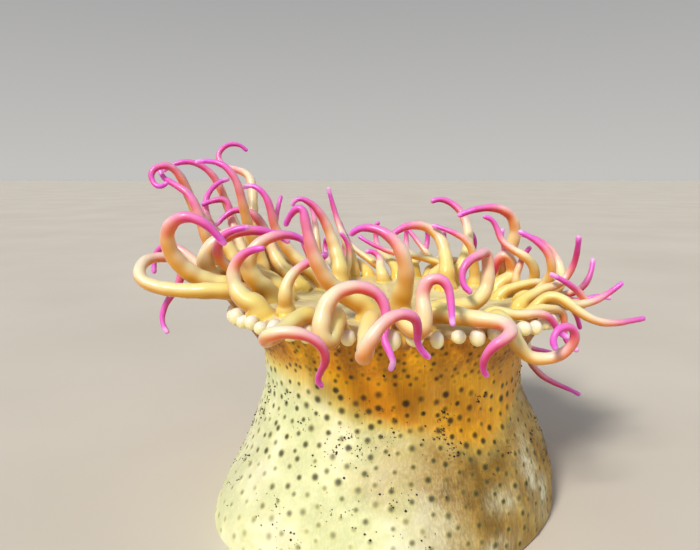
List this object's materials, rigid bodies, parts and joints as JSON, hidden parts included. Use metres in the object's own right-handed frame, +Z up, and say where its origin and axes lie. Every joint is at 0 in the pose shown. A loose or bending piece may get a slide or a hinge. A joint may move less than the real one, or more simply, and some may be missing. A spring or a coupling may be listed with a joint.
{
  "type": "sea anemone",
  "caption": "Sea anemone on its foot: warty waisted column, beaded collar and a crown of curled, tapering tentacles with pink tips round an open disc.",
  "frame": {"origin": "middle of the foot's flat underside, on the floor, under the column's axis", "axes": "+Z up along the column, -Y towards the side that the picture shows, +X to that side's right"},
  "size_m": [0.1936, 0.1666, 0.1392],
  "materials": {
    "foot": "wet flesh, pale cream, satin",
    "column": "wet flesh, cream to amber with dark warts, satin",
    "collar": "wet flesh, amber-brown with pale beads, satin",
    "crown": "wet translucent flesh, cream, glossy",
    "tip": "wet translucent flesh, cream to pink, glossy",
    "disc": "wet flesh, pale green-cream with faint rays, satin",
    "grains": "dark sand and shell grains that the column holds, matte"
  },
  "bodies": {
    "root": {"pedal_disc": "foot", "column_lower": "column", "column_middle": "column", "column_upper": "column", "collar": "collar", "oral_disc": "disc", "mouth": "disc", "crown_01": "crown", "crown_02": "crown", "crown_03": "crown", "crown_04": "crown", "crown_05": "crown", "crown_06": "crown", "crown_07": "crown", "crown_08": "crown", "crown_09": "crown", "crown_10": "crown", "crown_11": "crown", "crown_12": "crown", "tentacle_A26_tip": "tip", "tentacle_A25_tip": "tip", "tentacle_A24_tip": "tip", "tentacle_A23_tip": "tip", "tentacle_A22_tip": "tip", "tentacle_B11_tip": "tip", "tentacle_C6_tip": "tip", "tentacle_A21_tip": "tip", "tentacle_A20_tip": "tip", "tentacle_A19_tip": "tip", "tentacle_B9_tip": "tip", "tentacle_B10_tip": "tip", "tentacle_D4_tip": "tip", "tentacle_C5_tip": "tip", "tentacle_D8_tip": "tip", "tentacle_C4_tip": "tip", "tentacle_A32_tip": "tip", "tentacle_A33_tip": "tip", "tentacle_A35_tip": "tip", "tentacle_A36_tip": "tip", "tentacle_B18_tip": "tip", "tentacle_A40_tip": "tip", "tentacle_A7_tip": "tip", "tentacle_D1_tip": "tip", "tentacle_B3_tip": "tip", "tentacle_A5_tip": "tip", "tentacle_D9_tip": "tip", "tentacle_A4_tip": "tip", "tentacle_A6_tip": "tip"}
  },
  "joints": []
}
